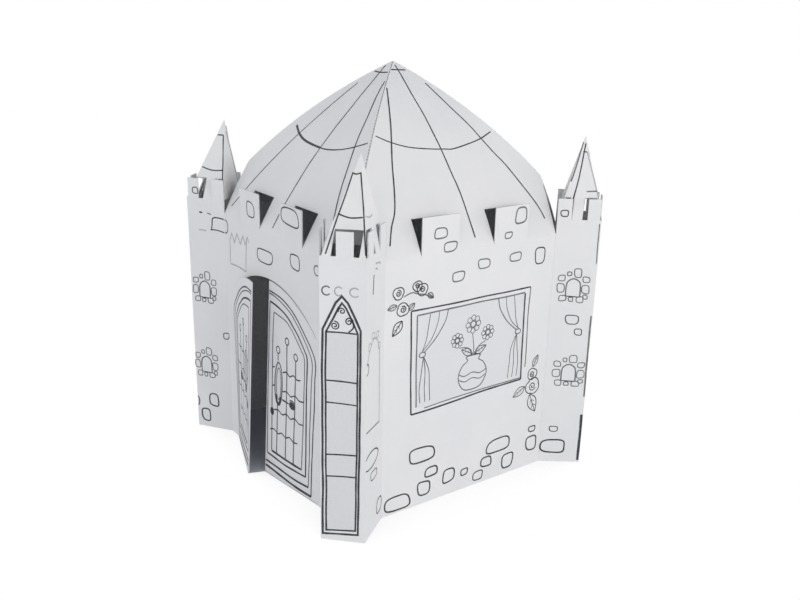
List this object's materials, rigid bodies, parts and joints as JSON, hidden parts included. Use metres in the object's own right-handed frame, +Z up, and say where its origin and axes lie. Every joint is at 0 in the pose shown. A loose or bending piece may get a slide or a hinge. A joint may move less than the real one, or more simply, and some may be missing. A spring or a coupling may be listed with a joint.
{
  "type": "cardboard playhouse",
  "caption": "Play castle folded from printed board: square room, arched door leaves, battlements, corner towers with spires and a domed four-sided roof.",
  "frame": {"origin": "on the floor, below the apex of the roof, at the middle of the room", "axes": "+Z up; the wall with the door faces -Y and the wall with the printed window faces +X"},
  "size_m": [1.136, 1.1452, 1.4002],
  "materials": {
    "printed_board": "matt white board printed with charcoal lines"
  },
  "bodies": {
    "root": {"door_sheet": "printed_board", "window_sheet": "printed_board", "back_sheet": "printed_board", "side_sheet": "printed_board"}
  },
  "joints": []
}
